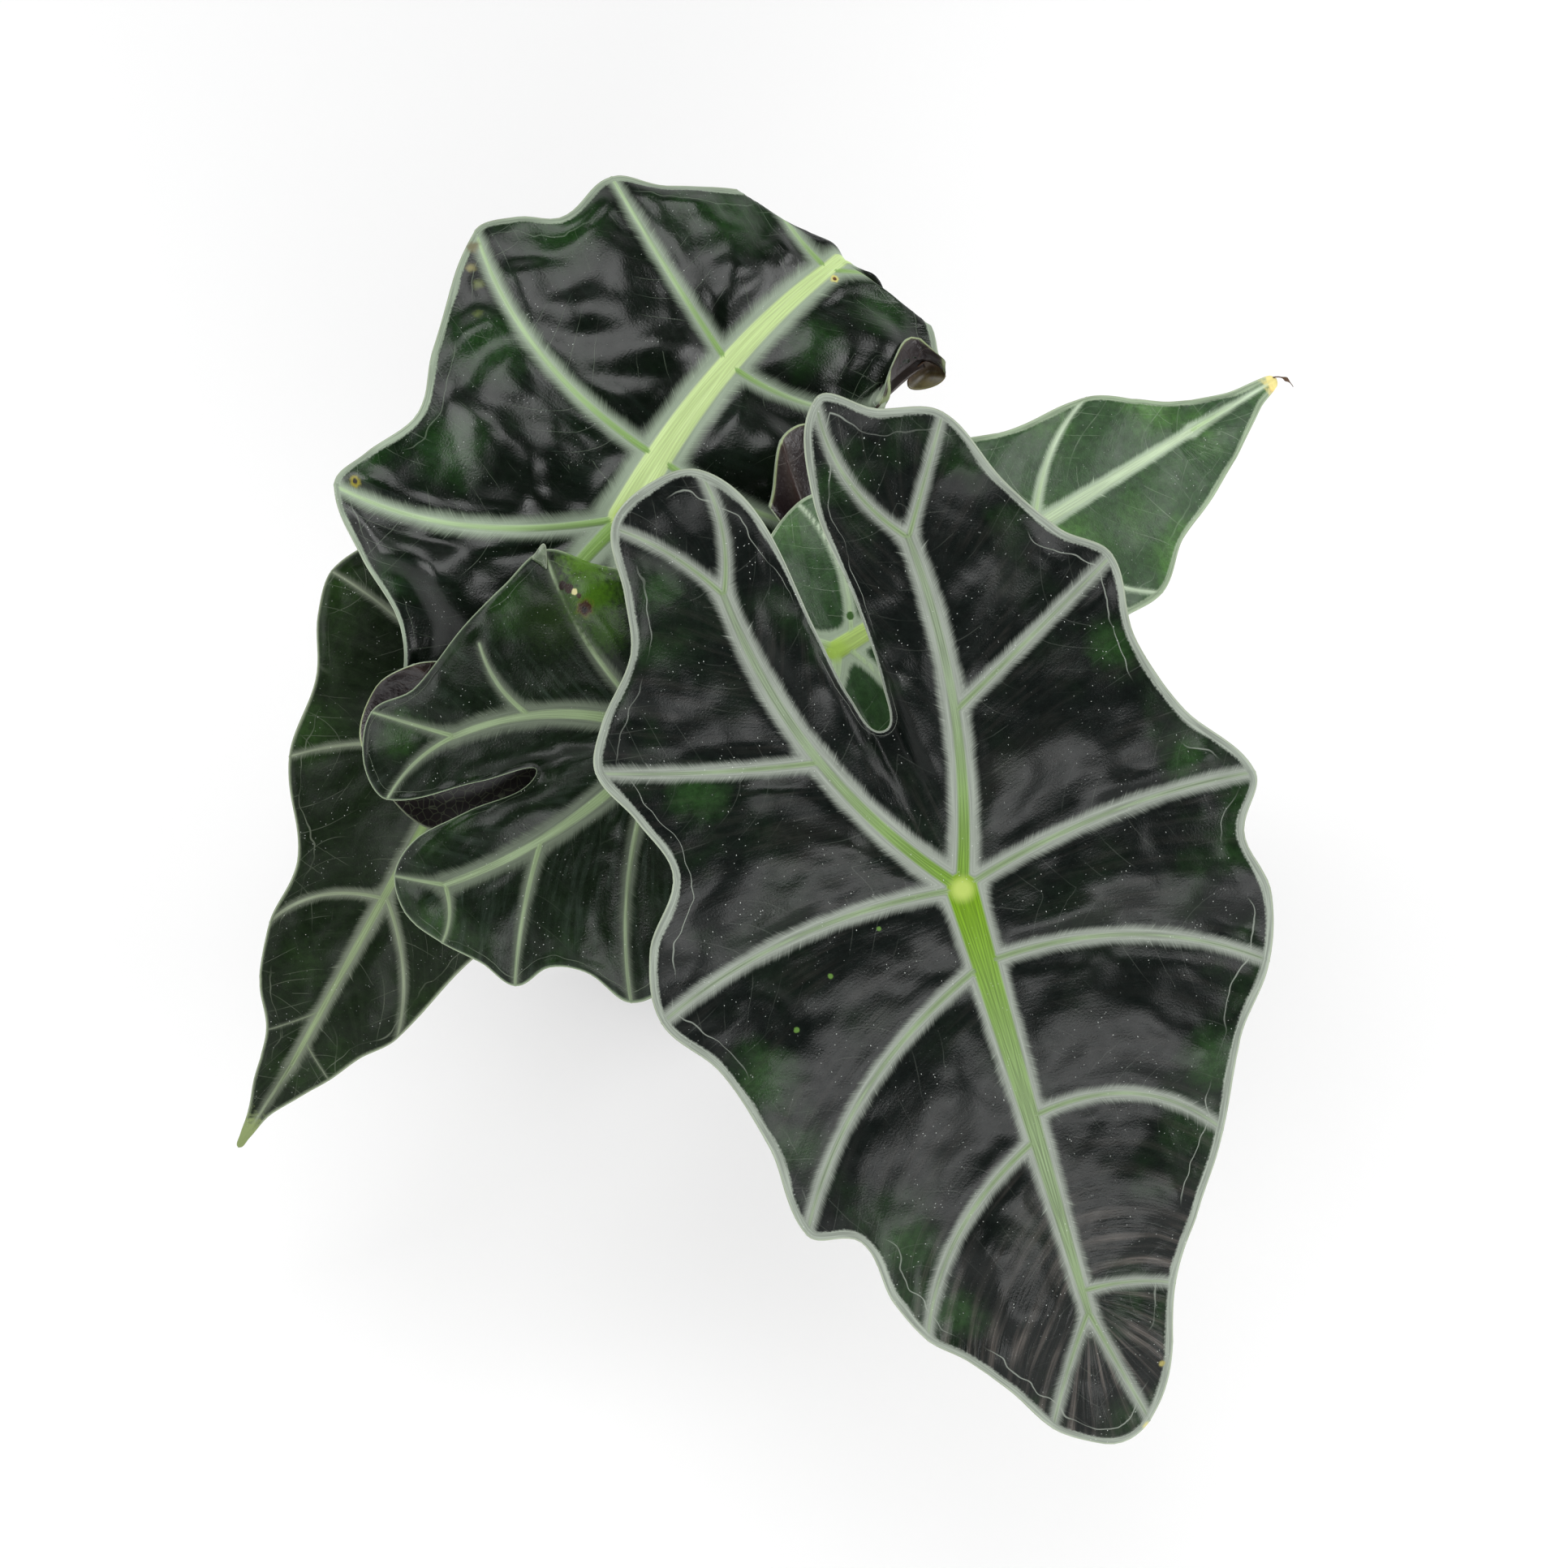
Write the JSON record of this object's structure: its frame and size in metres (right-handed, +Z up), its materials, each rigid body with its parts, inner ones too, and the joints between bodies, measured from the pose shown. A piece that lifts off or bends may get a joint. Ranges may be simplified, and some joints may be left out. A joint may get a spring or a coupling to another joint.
{
  "type": "potted alocasia plant",
  "caption": "Potted foliage plant with waved arrow-shaped leaves, pale raised veins and purple undersides, on round stalks from a plain nursery pot.",
  "frame": {"origin": "centre of the pot's flat foot, on the surface it rests on", "axes": "+Z up along the pot's axis, -Y towards the largest leaf, +X towards the smallest leaf"},
  "size_m": [0.3078, 0.3528, 0.3446],
  "materials": {
    "pot": "satin",
    "soil": "matte",
    "crown": "matte",
    "blade": "satin",
    "stalk": "satin"
  },
  "bodies": {
    "root": {"pot": "pot", "soil": "soil", "crown": "crown", "blade_front": "blade", "blade_back": "blade", "blade_middle": "blade", "blade_low": "blade", "blade_right": "blade", "stalk_front": "stalk", "stalk_back": "stalk", "stalk_middle": "stalk", "stalk_low": "stalk", "stalk_right": "stalk"}
  },
  "joints": []
}
